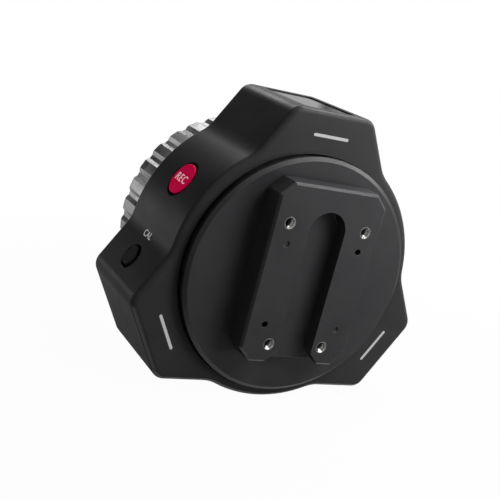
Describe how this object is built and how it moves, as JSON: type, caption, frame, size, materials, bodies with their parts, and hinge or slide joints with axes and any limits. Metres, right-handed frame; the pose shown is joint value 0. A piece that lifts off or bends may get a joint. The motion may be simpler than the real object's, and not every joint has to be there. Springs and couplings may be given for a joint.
{
  "type": "wireless follow focus hand unit",
  "caption": "Three-lobed follow focus hand unit with a knurled focus wheel, side buttons, a small display and a U-shaped screw-on mounting plate.",
  "frame": {"origin": "on the focus wheel's axis, in the mounting plate's face, at the centre of the plate's two locating holes", "axes": "+Y along the wheel's axis, out of the mounting face; the wheel faces -Y; +Z towards the lobe with the display; +X towards the record button"},
  "size_m": [0.0988, 0.0656, 0.091],
  "materials": {
    "housing": "matte moulded",
    "anodised_black": "black anodised, satin",
    "wheel_metal": "satin anodised",
    "spindle_metal": "machined",
    "steel": "machined",
    "black_steel": "black oxide",
    "white_trim": "smooth white",
    "marking_white": "matt, writable",
    "window_glass": "black-tinted, polished",
    "adhesive": "foam tape",
    "display": "smooth",
    "flex": "polyimide film",
    "board": "solder mask",
    "chip": "moulded",
    "shield": "stamped",
    "battery": "shrink film",
    "brass": "machined",
    "cage": "moulded nylon",
    "felt": "felt",
    "rec_red": "satin, soft edge",
    "button_black": "matte moulded",
    "port_metal": "nickel plated"
  },
  "bodies": {
    "hand_unit": {"main_housing": "housing", "front_cover": "housing", "rear_disc": "anodised_black", "mount_plate": "anodised_black", "thread_inserts": "steel", "plate_screws": "black_steel", "disc_screws": "black_steel", "cover_screws": "black_steel", "marker_bars": "white_trim", "index_mark": "white_trim", "display_window": "window_glass", "window_adhesive": "adhesive", "display_module": "display", "display_ribbon": "flex", "bearing_outer_rings": "steel", "felt_ring": "felt", "stop_posts": "steel", "encoder": "shield", "encoder_nut": "steel", "main_board": "board", "radio_module": "shield", "board_chips": "chip", "battery_pack": "battery", "battery_tray": "housing", "tray_screws": "black_steel", "button_board": "board", "power_board": "board", "board_screws": "black_steel", "tact_switches": "chip", "charging_port": "port_metal", "port_board": "board", "antenna": "flex"},
    "focus_wheel": {"wheel_rim": "wheel_metal", "wheel_cap": "anodised_black", "marking_ring": "marking_white", "wheel_spindle": "spindle_metal", "bearing_inner_rings": "steel", "retaining_clip": "black_steel", "wheel_screws": "black_steel", "stop_pin": "steel", "drive_gear": "brass", "gear_screws": "steel"},
    "ball_sets": {"bearing_balls": "steel", "bearing_cages": "cage"},
    "encoder_pinion": {"encoder_pinion": "brass"},
    "rec_button": {"rec_button": "rec_red", "rec_plunger": "button_black"},
    "cal_button": {"cal_button": "button_black", "cal_plunger": "button_black"},
    "power_button": {"power_button": "button_black", "power_plunger": "button_black"}
  },
  "joints": [
    {"name": "focus_wheel_turn", "type": "hinge", "parent": "hand_unit", "child": "focus_wheel", "pos_m": [0, 0, 0], "axis": [0, -1, 0], "range_deg": [-150, 150]},
    {"name": "ball_set_orbit", "type": "hinge", "parent": "hand_unit", "child": "ball_sets", "pos_m": [0, 0, 0], "axis": [0, -1, 0], "range_deg": [-66, 66]},
    {"name": "encoder_pinion_spin", "type": "hinge", "parent": "hand_unit", "child": "encoder_pinion", "pos_m": [-0.02086, 0, 0.00843], "axis": [0, -1, 0], "range_deg": [-600, 600]},
    {"name": "rec_button_press", "type": "slide", "parent": "hand_unit", "child": "rec_button", "axis": [-0.866, 0, -0.5], "range_m": [0, 0.0005], "stiffness_N_per_m": 1200},
    {"name": "cal_button_press", "type": "slide", "parent": "hand_unit", "child": "cal_button", "axis": [-0.866, 0, -0.5], "range_m": [0, 0.0005], "stiffness_N_per_m": 1200},
    {"name": "power_button_press", "type": "slide", "parent": "hand_unit", "child": "power_button", "axis": [0.866, 0, -0.5], "range_m": [0, 0.0005], "stiffness_N_per_m": 1200}
  ],
  "couplings": [
    {"joint": "encoder_pinion_spin", "follows": "focus_wheel_turn", "ratio": -4},
    {"joint": "ball_set_orbit", "follows": "focus_wheel_turn", "ratio": 0.4385}
  ]
}
